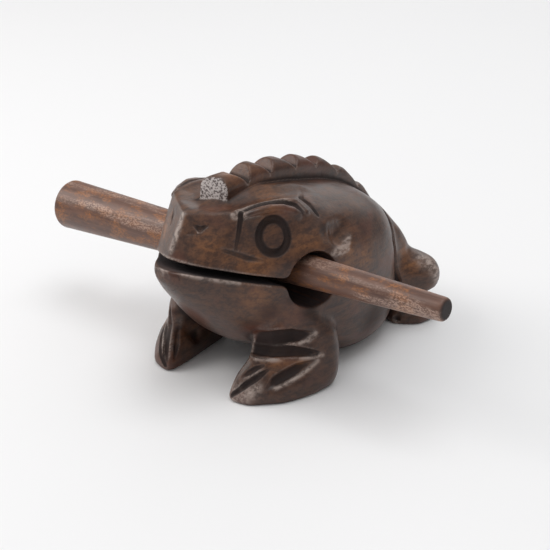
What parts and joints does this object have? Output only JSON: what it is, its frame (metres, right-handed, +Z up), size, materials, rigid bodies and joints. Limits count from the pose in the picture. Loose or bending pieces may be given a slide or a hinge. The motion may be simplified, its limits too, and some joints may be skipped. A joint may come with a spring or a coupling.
{
  "type": "croaking frog guiro",
  "caption": "Hand-carved wooden frog guiro with a scalloped crest, a mouth kerf opening into a cross bore, and a loose tapered rasping stick kept in the bore.",
  "frame": {"origin": "on the ground, at the middle of the flat belly, in the frog's plane of symmetry", "axes": "+X to the frog's left, -Y the way the frog faces, +Z up"},
  "size_m": [0.1583, 0.1092, 0.0701],
  "materials": {
    "stained_hardwood": "dark brown stain under a semi-gloss lacquer, worn to a lighter brown on the edges",
    "stick_hardwood": "reddish brown stain under a semi-gloss lacquer, streaked along the grain"
  },
  "bodies": {
    "frog": {"frog_body": "stained_hardwood"},
    "stick": {"rasp_stick": "stick_hardwood"}
  },
  "joints": [
    {"name": "stick_slide", "type": "slide", "parent": "frog", "child": "stick", "axis": [-0.9977, -0.0523, -0.0436], "range_m": [0, 0.12]}
  ]
}
